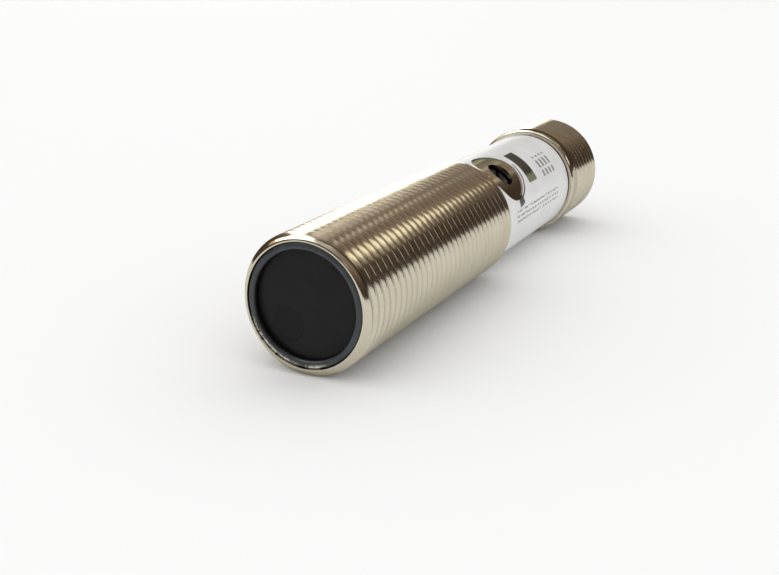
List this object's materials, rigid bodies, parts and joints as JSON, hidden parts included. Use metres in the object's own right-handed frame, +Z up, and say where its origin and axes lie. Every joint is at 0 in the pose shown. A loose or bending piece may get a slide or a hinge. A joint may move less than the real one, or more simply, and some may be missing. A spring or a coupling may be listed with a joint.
{
  "type": "proximity sensor",
  "caption": "Cylindrical threaded metal proximity sensor with a recessed dark light window, white wrap-round label, slotted sensitivity adjuster and round plug end.",
  "frame": {"origin": "bottom centre of the bounding box, with the sensor lying on its side", "axes": "+Z up, the sensor's axis along Y with the sensing face looking along -Y and the plug end along +Y"},
  "size_m": [0.012, 0.06, 0.012],
  "materials": {
    "nickel_plate": "nickel-plated brass, turned and threaded, satin bright",
    "black_plastic": "moulded black plastic, slightly glossy",
    "dark_window": "dark tinted acrylic window, polished",
    "black_rubber": "black nitrile rubber",
    "red_lens": "deep red tinted lens plastic, polished",
    "clear_plastic": "clear moulded plastic",
    "chip_black": "black moulded chip package",
    "board_green": "green lacquered circuit board",
    "capacitor_yellow": "orange-yellow moulded capacitor",
    "adjuster_blue": "blue moulded trimmer body",
    "adjuster_plastic": "dark moulded plastic with a screwdriver slot",
    "lamp_yellow": "yellow light-emitting chip",
    "label_film": "white printed film label, satin",
    "gold_plate": "gold-plated contact pins"
  },
  "bodies": {
    "sensor": {"housing": "nickel_plate", "front_ring": "black_plastic", "front_window": "dark_window", "window_gasket": "black_rubber", "optics_holder": "black_plastic", "emitter_lens": "red_lens", "receiver_lens": "red_lens", "emitter_led": "clear_plastic", "photodiode": "chip_black", "optics_board": "board_green", "main_board": "board_green", "board_header": "black_plastic", "sensor_chip": "chip_black", "input_capacitor": "capacitor_yellow", "output_transistor": "chip_black", "protection_diode": "chip_black", "regulator_chip": "chip_black", "adjuster_body": "adjuster_blue", "adjuster_seal": "black_rubber", "status_led": "lamp_yellow", "light_guide": "clear_plastic", "label_sleeve": "label_film", "connector_shell": "nickel_plate", "shell_seal": "black_rubber", "connector_insert": "black_plastic", "pin_board": "board_green", "contact_pin_1": "gold_plate", "contact_pin_2": "gold_plate", "contact_pin_3": "gold_plate", "contact_pin_4": "gold_plate"},
    "adjuster": {"adjuster_rotor": "adjuster_plastic"}
  },
  "joints": [
    {"name": "sensitivity_turn", "type": "hinge", "parent": "sensor", "child": "adjuster", "pos_m": [0.00282, 0.0045, 0.00986], "axis": [0.5878, 0, 0.809], "range_deg": [-135, 135]}
  ]
}
